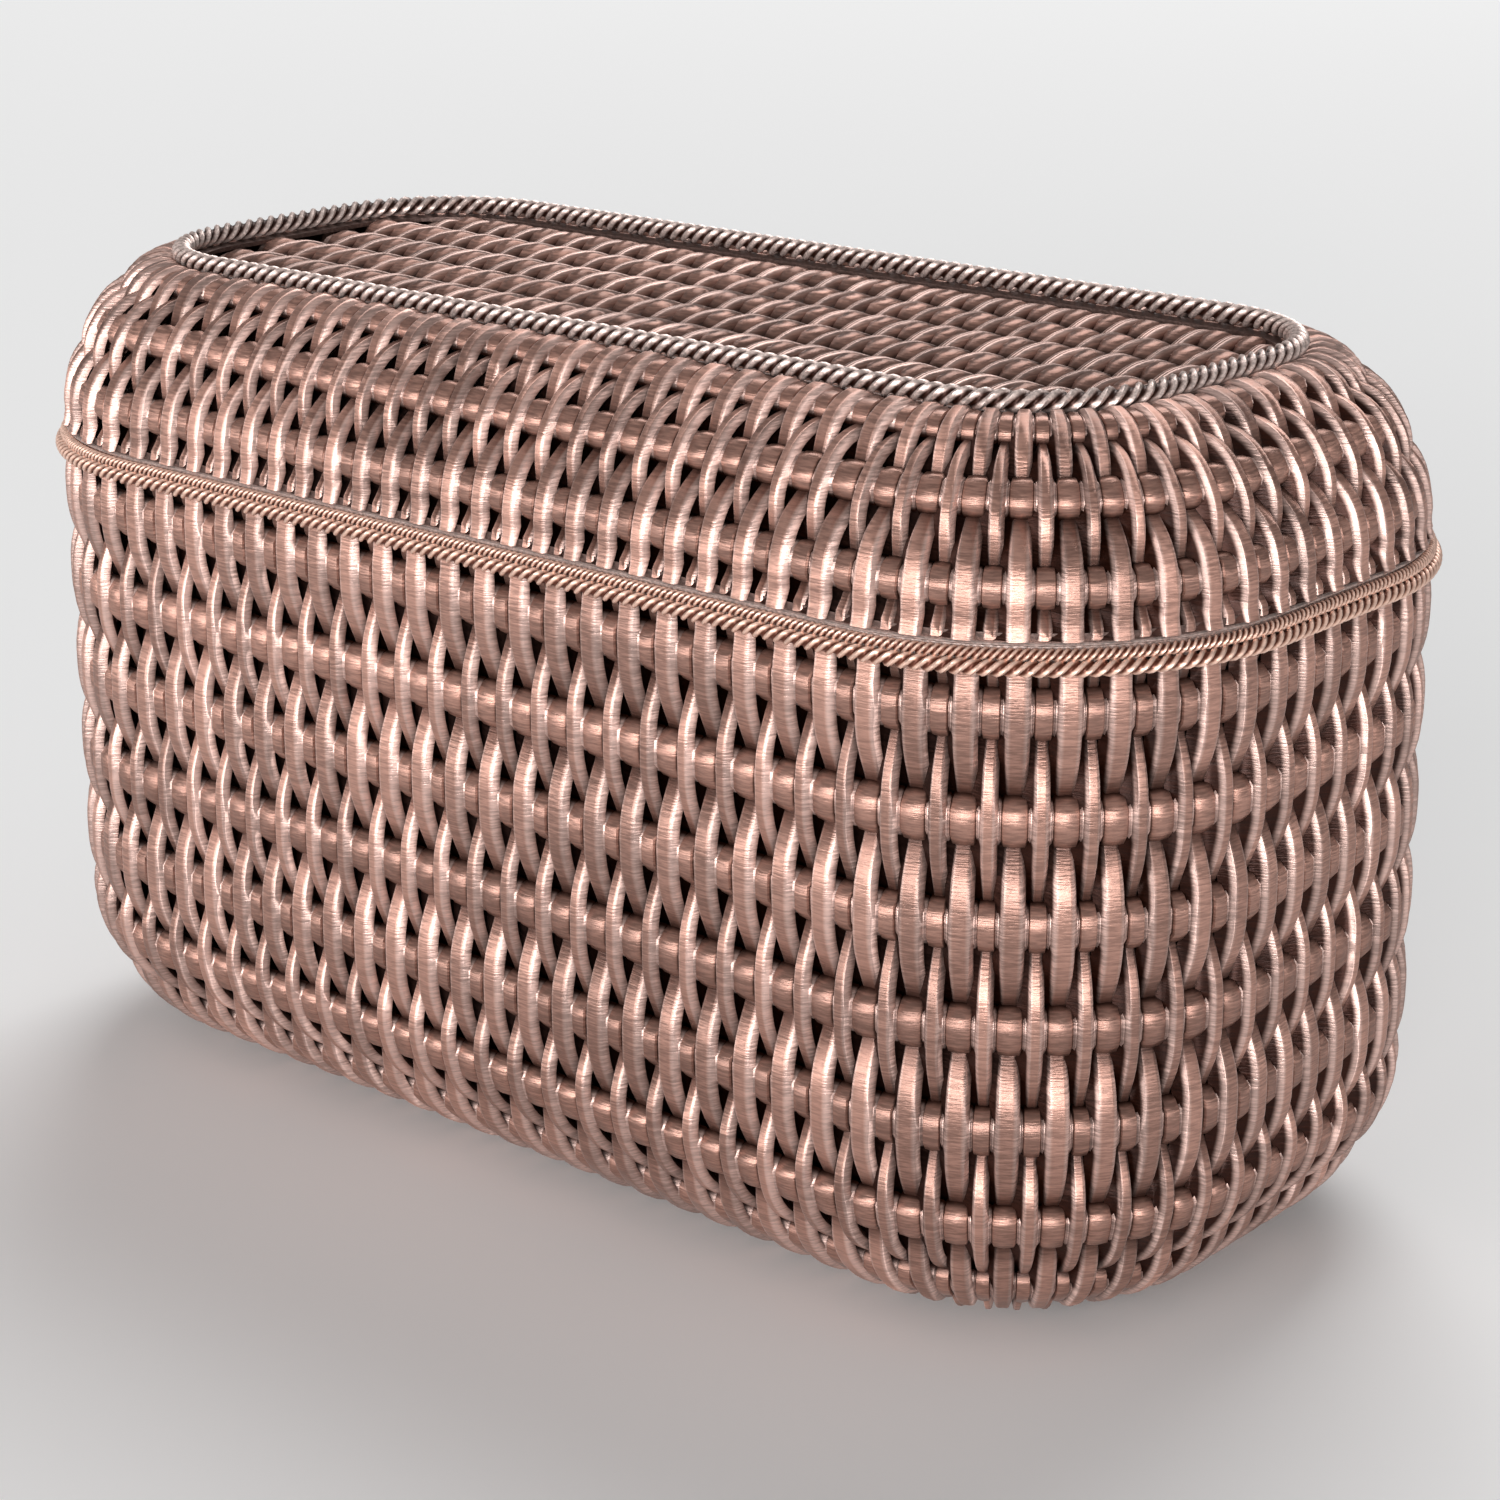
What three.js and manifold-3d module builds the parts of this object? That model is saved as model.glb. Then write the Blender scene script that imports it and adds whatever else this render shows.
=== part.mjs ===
// A lidded rattan storage basket: a woven tub with a rounded foot, and a domed woven lid that lifts off.
// Millimetres, +Z up, X along the length, the front faces -Y. The origin is the centre of the underside.
import * as THREE from "three";
import { mergeVertices } from "three/addons/utils/BufferGeometryUtils.js";
import Module from "manifold-3d";

const wasm = await Module();
wasm.setup();

// The plan of the rim, on the centre line of its rope. Every other loop is this one, inset.
const rimLength = 240;
const rimWidth = 119;
const cornerRadius = 45.5;

// The basket
const rimHeight = 108.5;
const wallInset = 1.9;
const footRadius = 30;
const footSweep = (80 * Math.PI) / 180;
const floorThickness = 2.4;
const basketRows = 7;
const firstRowDrop = 7.5;
const lastRowAngle = (45 * Math.PI) / 180;

// The strands: upright stakes pass outside one weaver and inside the next.
const frontStakes = 24;
const endStakes = 12;
const stakeWidth = 6.2;
const stakeThickness = 1;
const bow = 2.2;
const weaverHeight = 4.4;
const weaverThickness = 1;
const gap = 0.3;

// The rim: a band behind the rope, turned out over it as the ledge that the lid sits on
const ropeDiameter = 3.2;
const bandThickness = 1.2;
const bandDepth = 6.4;
const ledgeThickness = 0.8;

// The lid
const lipDepth = 5;
const lipClearance = 0.5;
const flangeThickness = 1;
const shoulderRise = 26.1;
const crownFullness = 0.42;
const footFullness = 0.52;
const lidRows = 3;
const lidFirstRow = 7.5;
const lidLastRow = 4.6;
const lidWeaverHeight = 3.6;

// The flat top of the lid, inside its ring of rope
const ringInset = 21.8;
const ringDiameter = 3.4;
const crownWidth = 4;
const crownThickness = 1;
const topStripWidth = 5.6;
const topStripThickness = 0.8;
const topRows = 6;
const topBow = 1.9;
const topWeaverWidth = 4.2;

// How finely the round shapes are cut, and the distance below which vertices are one
const cornerSteps = 8;
const floorSteps = 6;
const ropeSides = 8;
const weldDistance = 1e-4;

const ledgeTop = rimHeight + ropeDiameter / 2 + gap + ledgeThickness;
const bandOuter = ropeDiameter / 2 + gap;
const bandInner = bandOuter + bandThickness;
const lipOuter = bandInner + lipClearance;
const lipInner = lipOuter + bandThickness;
const footCentre = floorThickness / 2 + footRadius;
const straightX = rimLength / 2 - cornerRadius;
const straightY = rimWidth / 2 - cornerRadius;
const cornerArc = (cornerRadius * Math.PI) / 2;

const rattan = { color: 0xb08a80, roughness: 0.42, metalness: 0.15 };
const copperRope = { color: 0xc08a70, roughness: 0.4, metalness: 0.2 };

// A station runs along the rim line from the middle of the front, towards +X.
const sides = [
  { length: straightX, start: [0, -rimWidth / 2], angle: -Math.PI / 2 },
  { corner: [straightX, -straightY], angle: -Math.PI / 2 },
  { length: 2 * straightY, start: [rimLength / 2, -straightY], angle: 0 },
  { corner: [straightX, straightY], angle: 0 },
  { length: 2 * straightX, start: [straightX, rimWidth / 2], angle: Math.PI / 2 },
  { corner: [-straightX, straightY], angle: Math.PI / 2 },
  { length: 2 * straightY, start: [-rimLength / 2, straightY], angle: Math.PI },
  { corner: [-straightX, -straightY], angle: Math.PI },
  { length: straightX, start: [-straightX, -rimWidth / 2], angle: (3 * Math.PI) / 2 },
];

function sideLength(side) {
  return side.corner ? cornerArc : side.length;
}

const perimeter = sides.reduce((sum, side) => sum + sideLength(side), 0);

// The point of the rim line at a station, and the outward direction there
function rimPoint(station) {
  let rest = wrapped(station);
  const side = sides.find((each) => {
    if (rest <= sideLength(each)) return true;
    rest -= sideLength(each);
    return false;
  });
  const angle = side.angle + (side.corner ? rest / cornerRadius : 0);
  const out = new THREE.Vector3(Math.cos(angle), Math.sin(angle), 0);
  if (side.corner) {
    const at = new THREE.Vector3(...side.corner, 0).addScaledVector(out, cornerRadius);
    return { at, out };
  }
  const along = new THREE.Vector3(-out.y, out.x, 0);
  return { at: new THREE.Vector3(...side.start, 0).addScaledVector(along, rest), out };
}

// The stations where a swept loop has a section: both ends of each corner, and steps between them
function loopStations() {
  const stations = [];
  let start = 0;
  for (const side of sides) {
    if (side.corner) {
      for (let step = 0; step <= cornerSteps; step += 1) {
        stations.push(start + (cornerArc * step) / cornerSteps);
      }
    }
    start += sideLength(side);
  }
  return stations;
}

// A section of [out, z] points, anticlockwise, swept along stations: a closed loop, or a stretch
function sweep(section, stations, closed) {
  const positions = [];
  for (const station of stations) {
    const { at, out } = rimPoint(station);
    for (const [reach, z] of section) {
      positions.push(at.x + out.x * reach, at.y + out.y * reach, z);
    }
  }
  const count = section.length;
  const index = [];
  const spans = closed ? stations.length : stations.length - 1;
  for (let i = 0; i < spans; i += 1) {
    const here = i * count;
    const next = ((i + 1) % stations.length) * count;
    for (let j = 0; j < count; j += 1) {
      const k = (j + 1) % count;
      index.push(here + j, next + j, next + k, here + j, next + k, here + k);
    }
  }
  if (!closed) {
    const contour = section.map(([reach, z]) => new THREE.Vector2(reach, z));
    const last = (stations.length - 1) * count;
    for (const [a, b, c] of THREE.ShapeUtils.triangulateShape(contour, [])) {
      index.push(a, b, c, last + a, last + c, last + b);
    }
  }
  const geometry = new THREE.BufferGeometry();
  geometry.setAttribute("position", new THREE.Float32BufferAttribute(positions, 3));
  geometry.setIndex(index);
  return geometry;
}

function solid(geometry) {
  const bare = geometry.clone();
  bare.deleteAttribute("normal");
  bare.deleteAttribute("uv");
  const merged = mergeVertices(bare, weldDistance);
  return new wasm.Manifold(
    new wasm.Mesh({
      numProp: 3,
      vertProperties: merged.attributes.position.array,
      triVerts: new Uint32Array(merged.index.array),
    }),
  );
}

function joined(geometries) {
  const mesh = geometries.map(solid).reduce((whole, each) => whole.add(each)).getMesh();
  const geometry = new THREE.BufferGeometry();
  geometry.setAttribute("position", new THREE.BufferAttribute(mesh.vertProperties, 3));
  geometry.setIndex(new THREE.BufferAttribute(mesh.triVerts, 1));
  return geometry;
}

function piece(name, geometry, finish) {
  geometry.computeVertexNormals();
  const mesh = new THREE.Mesh(geometry, new THREE.MeshStandardMaterial(finish));
  mesh.name = name;
  return mesh;
}

// The basket's wall, halfway through its weave, as [out, z] from the band down to the floor's edge
const wallTop = ledgeTop - ledgeThickness - bandDepth / 2;
const basketWall = new THREE.CurvePath();
basketWall.add(
  new THREE.LineCurve(
    new THREE.Vector2(-wallInset, wallTop),
    new THREE.Vector2(-wallInset, footCentre),
  ),
);
basketWall.add(
  new THREE.EllipseCurve(
    -wallInset - footRadius,
    footCentre,
    footRadius,
    footRadius,
    0,
    -footSweep,
    true,
  ),
);

// The lid's shoulder, halfway through its weave, from the crown down to the flange
const crownEdge = -ringInset + ringDiameter / 2;
const shoulderFoot = new THREE.Vector2(-wallInset, flangeThickness / 2);
const shoulderTop = new THREE.Vector2(crownEdge + gap + stakeThickness / 2, shoulderRise);
const lidWall = new THREE.CubicBezierCurve(
  shoulderTop,
  new THREE.Vector2(THREE.MathUtils.lerp(shoulderTop.x, shoulderFoot.x, crownFullness), shoulderTop.y),
  new THREE.Vector2(shoulderFoot.x, THREE.MathUtils.lerp(shoulderFoot.y, shoulderTop.y, footFullness)),
  shoulderFoot,
);

// A place on a wall by its length from the wall's start, moved outwards by an offset
function onWall(wall, distance, offset) {
  const share = distance / wall.getLength();
  const point = wall.getPointAt(share);
  const along = wall.getTangentAt(share);
  return new THREE.Vector2(point.x - along.y * offset, point.y + along.x * offset);
}

function basketRowDistances() {
  const first = wallTop - (rimHeight - firstRowDrop);
  const last = wallTop - footCentre + footRadius * lastRowAngle;
  return Array.from({ length: basketRows }, (_, row) =>
    THREE.MathUtils.lerp(first, last, row / (basketRows - 1)),
  );
}

function lidRowDistances() {
  const last = lidWall.getLength() - lidFirstRow;
  return Array.from({ length: lidRows }, (_, row) =>
    THREE.MathUtils.lerp(lidLastRow, last, row / (lidRows - 1)),
  );
}

// The closed outline of a strip of a thickness along points, mitred where it bends
function stripOutline(points, thickness) {
  const upper = [];
  const lower = [];
  const last = points.length - 1;
  const runs = points.slice(1).map((point, i) => point.clone().sub(points[i]).normalize());
  points.forEach((point, i) => {
    const into = runs[Math.max(i - 1, 0)];
    const outOf = runs[Math.min(i, last - 1)];
    const along = into.clone().add(outOf).normalize();
    const reach = thickness / 2 / along.dot(into);
    const side = new THREE.Vector2(-along.y, along.x).multiplyScalar(reach);
    upper.push(point.clone().add(side));
    lower.unshift(point.clone().sub(side));
  });
  return new THREE.Shape([...upper, ...lower].reverse());
}

// A straight run between two rows cuts inside a bend, so over a weaver there a strip bows out further.
function bendLift(wall, distance, spacing, height) {
  const share = (offset) => THREE.MathUtils.clamp((distance + offset) / wall.getLength(), 0, 1);
  const before = wall.getTangentAt(share(-spacing / 2));
  const after = wall.getTangentAt(share(spacing / 2));
  const bend = Math.acos(Math.min(before.dot(after), 1));
  return (height / 2 + weaverThickness) * Math.tan(bend / 2);
}

// The strip's centre line: outside one weaver and inside the next, flat at both ends
function wovenPath(wall, rows, overFirst, endOffset, height) {
  const path = [onWall(wall, 0, endOffset)];
  rows.forEach((distance, row) => {
    const over = row % 2 === 0 ? overFirst : !overFirst;
    const lift = bendLift(wall, distance, rows[1] - rows[0], height);
    path.push(onWall(wall, distance, over ? bow + lift : -bow));
  });
  path.push(onWall(wall, wall.getLength(), 0));
  return path;
}

// How much a strip narrows where its neighbours close in, at a distance inside the rim line
function squeeze(stations, i, inset) {
  const place = (station, depth) => {
    const { at, out } = rimPoint(station);
    return at.addScaledVector(out, -depth);
  };
  const shares = [i - 1, i + 1].map((j) => {
    const other = stations[(j + stations.length) % stations.length];
    const near = place(stations[i], inset).distanceTo(place(other, inset));
    return near / place(stations[i], 0).distanceTo(place(other, 0));
  });
  return Math.min(1, ...shares);
}

function stake(stations, i, outline) {
  const geometry = new THREE.ExtrudeGeometry(outline, { depth: stakeWidth, bevelEnabled: false });
  geometry.translate(0, 0, -stakeWidth / 2);
  const position = geometry.attributes.position;
  for (let v = 0; v < position.count; v += 1) {
    position.setZ(v, position.getZ(v) * squeeze(stations, i, -position.getX(v)));
  }
  const { at, out } = rimPoint(stations[i]);
  const up = new THREE.Vector3(0, 0, 1);
  const frame = new THREE.Matrix4().makeBasis(out, up, out.clone().cross(up));
  geometry.applyMatrix4(frame.setPosition(at));
  return geometry;
}

// Stakes stand at every corner's middle, and evenly between those.
const cornerMiddle = straightX + cornerArc / 2;
const endMiddle = 2 * straightY + cornerArc;

function stakeStations() {
  const stations = [];
  const runs = [
    [cornerMiddle, endMiddle, endStakes],
    [cornerMiddle + endMiddle, 2 * cornerMiddle, frontStakes],
    [3 * cornerMiddle + endMiddle, endMiddle, endStakes],
    [3 * cornerMiddle + 2 * endMiddle, 2 * cornerMiddle, frontStakes],
  ];
  for (const [start, length, count] of runs) {
    for (let i = 0; i < count; i += 1) {
      stations.push(start + (length * i) / count);
    }
  }
  return stations;
}

const panelNames = [
  "corner_front_right",
  "right",
  "corner_back_right",
  "back",
  "corner_back_left",
  "left",
  "corner_front_left",
  "front",
];

// The stakes go by the panel that they stand in: a straight side, or the corner between two.
function panelOf(station) {
  const { at } = rimPoint(station);
  const pastX = Math.abs(at.x) > straightX + gap;
  const pastY = Math.abs(at.y) > straightY + gap;
  const frontBack = at.y < 0 ? "front" : "back";
  const leftRight = at.x < 0 ? "left" : "right";
  if (pastX && pastY) return `corner_${frontBack}_${leftRight}`;
  return pastY ? frontBack : leftRight;
}

// The stations of a panel in order, with none of them past the seam of the loop
function panelRun(stations, panel) {
  const run = stations.map((_, i) => i).filter((i) => panelOf(stations[i]) === panel);
  const wrap = run.findIndex((i, k) => k > 0 && i !== run[k - 1] + 1);
  return wrap < 0 ? run : [...run.slice(wrap), ...run.slice(0, wrap)];
}

function wrapped(distance) {
  return THREE.MathUtils.euclideanModulo(distance, perimeter);
}

// The station halfway between a stake and the next one
function halfwayPast(stations, i) {
  const count = stations.length;
  const from = stations[(i + count) % count];
  return from + wrapped(stations[(i + 1) % count] - from) / 2;
}

// A panel's stakes, joined to their own stretch of the band that carries them
function panelGeometry(stations, panel, section, outlines) {
  const run = panelRun(stations, panel);
  const start = halfwayPast(stations, run[0] - 1) + gap / 2;
  const length = wrapped(halfwayPast(stations, run[run.length - 1]) - gap / 2 - start);
  const within = loopStations()
    .map((station) => wrapped(station - start))
    .filter((along) => along > gap && along < length - gap)
    .sort((a, b) => a - b);
  const stretch = [0, ...within, length].map((along) => start + along);
  const band = sweep(section, stretch, false);
  return joined([band, ...run.map((i) => stake(stations, i, outlines[i % 2]))]);
}

function panels(prefix, wall, rows, section, endOffset, height) {
  const stations = stakeStations();
  const outlines = [true, false].map((overFirst) =>
    stripOutline(wovenPath(wall, rows, overFirst, endOffset, height), stakeThickness),
  );
  return panelNames.map((panel) =>
    piece(`${prefix}_stakes_${panel}`, panelGeometry(stations, panel, section, outlines), rattan),
  );
}

// A flat weaver that lies in the wall, tilted with it
function weaver(name, wall, distance, height) {
  const half = height / 2;
  const share = distance / wall.getLength();
  const along = wall.getTangentAt(share);
  const middle = wall.getPointAt(share);
  const corner = (down, outward) => [
    middle.x + along.x * down - along.y * outward,
    middle.y + along.y * down + along.x * outward,
  ];
  const thick = weaverThickness / 2;
  const section = [
    corner(half, thick),
    corner(-half, thick),
    corner(-half, -thick),
    corner(half, -thick),
  ];
  return piece(name, sweep(section, loopStations(), true), rattan);
}

function rope(name, reach, z, diameter) {
  const section = Array.from({ length: ropeSides }, (_, i) => {
    const angle = (2 * Math.PI * (i + 0.5)) / ropeSides;
    return [reach + (Math.cos(angle) * diameter) / 2, z + (Math.sin(angle) * diameter) / 2];
  });
  return piece(name, sweep(section, loopStations(), true), copperRope);
}

// A flat plate whose outline is the rim line, inset
function plateShape(inset) {
  const x = rimLength / 2 - inset;
  const y = rimWidth / 2 - inset;
  const r = Math.max(cornerRadius - inset, gap);
  const shape = new THREE.Shape();
  shape.moveTo(x, y - r);
  shape.absarc(x - r, y - r, r, 0, Math.PI / 2);
  shape.absarc(-x + r, y - r, r, Math.PI / 2, Math.PI);
  shape.absarc(-x + r, -y + r, r, Math.PI, 1.5 * Math.PI);
  shape.absarc(x - r, -y + r, r, 1.5 * Math.PI, 2 * Math.PI);
  return shape;
}

function floorPanel() {
  const tip = basketWall.getPointAt(1);
  const shape = plateShape(-tip.x + gap + stakeThickness / 2);
  const geometry = new THREE.ExtrudeGeometry(shape, {
    depth: floorThickness,
    bevelEnabled: false,
    curveSegments: floorSteps,
  });
  return piece("floor_panel", geometry, rattan);
}

function basket() {
  const group = new THREE.Group();
  const rows = basketRowDistances();
  const bandTop = ledgeTop;
  const bandFoot = ledgeTop - ledgeThickness - bandDepth;
  const section = [
    [-bandInner, bandFoot],
    [-bandOuter, bandFoot],
    [-bandOuter, bandTop - ledgeThickness],
    [0, bandTop - ledgeThickness],
    [0, bandTop],
    [-bandInner, bandTop],
  ];
  const bandMiddle = wallInset - (bandOuter + bandInner) / 2;
  group.add(floorPanel());
  group.add(...panels("basket", basketWall, rows, section, bandMiddle, weaverHeight));
  rows.forEach((distance, row) => {
    group.add(weaver(`basket_weaver_${row + 1}`, basketWall, distance, weaverHeight));
  });
  group.add(rope("rim_rope", 0, rimHeight, ropeDiameter));
  return group;
}

// Half the chord of a rounded plate at a place across it
function halfChord(inset, across, alongX) {
  const r = Math.max(cornerRadius - inset, gap);
  const past = Math.abs(across) - (alongX ? straightY : straightX);
  const straight = alongX ? straightX : straightY;
  return straight + (past > 0 ? Math.sqrt(Math.max(r * r - past * past, 0)) : r);
}

// The cross strips of the top run on from the front's stakes. Each passes the weavers well inside its ends.
function topStrips(rows, crownInner) {
  const pitch = (2 * cornerMiddle) / frontStakes;
  const most = Math.floor((rimLength / 2 - crownInner - topStripWidth / 2) / pitch);
  return Array.from({ length: 2 * most + 1 }, (_, k) => {
    const x = (k - most) * pitch;
    const reach = halfChord(crownInner, Math.abs(x) + topStripWidth / 2, false) + crownWidth / 2;
    return { x, reach, passes: rows.filter((y) => Math.abs(y) < reach - topWeaverWidth) };
  });
}

// A cross strip goes over one lengthwise weaver and under the next, into the crown at both ends.
function topStripGeometry(strip, i, rows, level) {
  const path = [new THREE.Vector2(-strip.reach, level)];
  for (const y of strip.passes) {
    path.push(new THREE.Vector2(y, level + ((i + rows.indexOf(y)) % 2 === 0 ? topBow : -topBow)));
  }
  path.push(new THREE.Vector2(strip.reach, level));
  const outline = stripOutline(path, topStripThickness);
  const geometry = new THREE.ExtrudeGeometry(outline, { depth: topStripWidth, bevelEnabled: false });
  geometry.translate(0, 0, -topStripWidth / 2);
  const frame = new THREE.Matrix4().makeBasis(
    new THREE.Vector3(0, 1, 0),
    new THREE.Vector3(0, 0, 1),
    new THREE.Vector3(1, 0, 0),
  );
  return geometry.applyMatrix4(frame.setPosition(strip.x, 0, 0));
}

// A lengthwise weaver ends inside the crown, and before any strip whose own end lies in its way.
function topWeaverReach(y, strips, crownInner) {
  const side = Math.abs(y) - topWeaverWidth / 2 - gap;
  const ends = strips
    .filter((strip) => !strip.passes.includes(y) && strip.reach > side)
    .map((strip) => Math.abs(strip.x) - topStripWidth / 2);
  return Math.min(halfChord(crownInner, Math.abs(y) + topWeaverWidth / 2, true), ...ends) - gap;
}

function topPieces(level) {
  const crownInner = -crownEdge + crownWidth;
  const section = [
    [-crownInner, level - crownThickness / 2],
    [crownEdge, level - crownThickness / 2],
    [crownEdge, level + crownThickness / 2],
    [-crownInner, level + crownThickness / 2],
  ];
  const spacing = (rimWidth - 2 * crownInner) / (topRows + 1);
  const rows = Array.from({ length: topRows }, (_, row) => (row - (topRows - 1) / 2) * spacing);
  const strips = topStrips(rows, crownInner);
  const bands = strips.map((strip, i) => topStripGeometry(strip, i, rows, level));
  const crown = joined([sweep(section, loopStations(), true), ...bands]);
  const weavers = rows.map((y, row) => {
    const length = 2 * topWeaverReach(y, strips, crownInner);
    const geometry = new THREE.BoxGeometry(length, topWeaverWidth, topStripThickness);
    const mesh = piece(`lid_top_weaver_${row + 1}`, geometry, rattan);
    mesh.position.set(0, y, level);
    return mesh;
  });
  return [piece("lid_top_strips", crown, rattan), ...weavers];
}

function lid() {
  const group = new THREE.Group();
  group.position.z = ledgeTop + gap;
  const rows = lidRowDistances();
  const section = [
    [-lipInner, -lipDepth],
    [-lipOuter, -lipDepth],
    [-lipOuter, 0],
    [-gap, 0],
    [-gap, flangeThickness],
    [-lipInner, flangeThickness],
  ];
  group.add(...panels("lid", lidWall, rows, section, 0, lidWeaverHeight));
  rows.forEach((distance, row) => {
    group.add(weaver(`lid_weaver_${lidRows - row}`, lidWall, distance, lidWeaverHeight));
  });
  const crownLevel = shoulderRise - gap;
  group.add(...topPieces(crownLevel));
  const ringLevel = crownLevel + crownThickness / 2 + gap + ringDiameter / 2;
  group.add(rope("top_rope", -ringInset, ringLevel, ringDiameter));
  return group;
}

const organizer = new THREE.Group();
organizer.add(basket(), lid());

export default organizer;
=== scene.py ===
# Lidded rattan storage basket: the weave, ropes, finishes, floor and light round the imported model.
import random
from math import atan2, cos, pi, radians, sin, sqrt

import bmesh
import bpy
import numpy as np
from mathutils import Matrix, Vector
from mathutils.geometry import interpolate_bezier


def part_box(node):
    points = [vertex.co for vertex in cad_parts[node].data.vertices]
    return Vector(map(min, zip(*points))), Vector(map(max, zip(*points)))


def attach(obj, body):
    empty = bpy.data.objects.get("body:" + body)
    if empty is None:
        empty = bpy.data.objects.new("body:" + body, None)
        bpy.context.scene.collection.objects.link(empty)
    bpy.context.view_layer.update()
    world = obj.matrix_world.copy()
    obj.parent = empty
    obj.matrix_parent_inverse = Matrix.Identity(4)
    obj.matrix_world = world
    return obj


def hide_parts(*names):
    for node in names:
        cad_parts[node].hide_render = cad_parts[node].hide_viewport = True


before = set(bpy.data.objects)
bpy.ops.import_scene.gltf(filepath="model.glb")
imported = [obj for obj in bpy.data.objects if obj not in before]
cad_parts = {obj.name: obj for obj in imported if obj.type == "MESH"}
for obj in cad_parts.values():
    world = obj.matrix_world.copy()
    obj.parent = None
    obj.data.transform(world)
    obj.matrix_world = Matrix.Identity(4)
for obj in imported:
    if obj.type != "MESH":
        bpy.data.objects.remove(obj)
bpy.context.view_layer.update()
random.seed(7)
mm = 0.001

# Camera, at the photograph's angle: degrees, metres, and the lens in millimetres
view = {
    "azimuth": 40.64,
    "elevation": 18.36,
    "distance": 0.5762,
    "target": (0.00206, 0.00909, 0.06),
    "lens": 81.7,
}


def direction(azimuth, elevation):
    a, e = radians(azimuth), radians(elevation)
    return Vector((sin(a) * cos(e), -cos(a) * cos(e), sin(e)))


def aim(thing, back, distance, target):
    thing.location = Vector(target) + back * distance
    thing.rotation_euler = back.to_track_quat("Z", "Y").to_euler()
    bpy.context.scene.collection.objects.link(thing)


def makeCamera():
    camera = bpy.data.objects.new("camera", bpy.data.cameras.new("camera"))
    camera.data.lens = view["lens"]
    aim(camera, direction(view["azimuth"], view["elevation"]), view["distance"], view["target"])
    bpy.context.scene.camera = camera


makeCamera()
print("camera set")

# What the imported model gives, in millimetres like every size from here on
ropeLow, ropeHigh = (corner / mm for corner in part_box("rim_rope"))
ringLow, ringHigh = (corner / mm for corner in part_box("top_rope"))
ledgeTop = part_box("basket_stakes_front")[1].z / mm
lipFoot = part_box("lid_stakes_front")[0].z / mm

# The plan of the rim, on the centre line of its rope: straight sides and round corners
cornerRadius = 45.5
straightX = ropeHigh.x - (ropeHigh.z - ropeLow.z) / 2 - cornerRadius
straightY = ropeHigh.y - (ropeHigh.z - ropeLow.z) / 2 - cornerRadius
cornerArc = cornerRadius * pi / 2
quarterRim = straightX + cornerArc + straightY
cornerMiddle = straightX + cornerArc / 2
endMiddle = 2 * straightY + cornerArc
ringInset = straightX + cornerRadius - ringHigh.x + (ringHigh.z - ringLow.z) / 2


# A station runs along the rim from the middle of the front, towards +X. Gives points and outward directions.
def rimPoints(station):
    quadrant, rest = np.divmod(np.asarray(station, float), quarterRim)
    quadrant = quadrant.astype(int) % 4
    along = np.where(quadrant % 2 == 0, rest, quarterRim - rest)
    angle = np.clip((along - straightX) / cornerRadius, 0, pi / 2)
    x = np.minimum(along, straightX) + cornerRadius * np.sin(angle)
    y = straightY + cornerRadius * np.cos(angle) - np.maximum(along - straightX - cornerArc, 0)
    signX = np.where(quadrant < 2, 1, -1)
    signY = np.where((quadrant == 1) | (quadrant == 2), 1, -1)
    return signX * x, signY * y, signX * np.sin(angle), signY * np.cos(angle)


# Runs of (how much of a pattern, how far along the rim), from the middle of the front, as a two-way ruler
def ruler(runs):
    marks = np.cumsum([0] + [amount for amount, _ in runs])
    stations = np.cumsum([0] + [reach for _, reach in runs])
    total, rim = marks[-1], stations[-1]
    return {
        "total": total,
        "mark": np.concatenate([marks - total, marks[1:], marks[1:] + total]),
        "station": np.concatenate([stations - rim, stations[1:], stations[1:] + rim]),
    }


# The same, of a loop's own length, for a loop that lies inside the rim by an inset
def loopRuler(inset):
    arc = cornerArc * (cornerRadius - inset) / cornerRadius
    x, y, corner = (straightX, straightX), (2 * straightY, 2 * straightY), (arc, cornerArc)
    return ruler([x, corner, y, corner, x, x, corner, y, corner, x])


# A wall's curve of (reach, height) points from its foot up, with its length and its outward direction
def wallTable(points):
    points = np.array(points, float)
    length = np.concatenate([[0], np.cumsum(np.hypot(*np.diff(points, axis=0).T))])
    slope = np.gradient(points, length, axis=0)
    slope /= np.linalg.norm(slope, axis=1)[:, None]
    return {
        "length": length,
        "reach": points[:, 0],
        "height": points[:, 1],
        "outwards": slope[:, 1],
        "upwards": -slope[:, 0],
    }


def flatCoordinates(bm):
    return np.array([v.co for v in bm.verts])


def moveTo(bm, x, y, z):
    for v, co in zip(bm.verts, np.column_stack([x, y, z]) * mm):
        v.co = co


# Wraps a flat mat, x in strands, y up the wall and z outwards, round the rim's plan.
def wrapOnWall(bm, wall, strands):
    flat = flatCoordinates(bm)
    x, y, outX, outY = rimPoints(np.interp(flat[:, 0], strands["mark"], strands["station"]))
    onWall = {key: np.interp(flat[:, 1], wall["length"], wall[key]) for key in wall}
    reach = onWall["reach"] + onWall["outwards"] * flat[:, 2]
    moveTo(bm, x + outX * reach, y + outY * reach, onWall["height"] + onWall["upwards"] * flat[:, 2])


# Wraps a straight bar, x its own length, y its height and z its reach outwards, into a loop.
def wrapOnPlan(bm, loop):
    flat = flatCoordinates(bm)
    x, y, outX, outY = rimPoints(np.interp(flat[:, 0], loop["mark"], loop["station"]))
    moveTo(bm, x + outX * flat[:, 2], y + outY * flat[:, 2], flat[:, 1])
    bmesh.ops.remove_doubles(bm, verts=bm.verts, dist=seamGap * mm)


seamGap = 0.002  # points nearer than this, where a loop closes, become one


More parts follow.
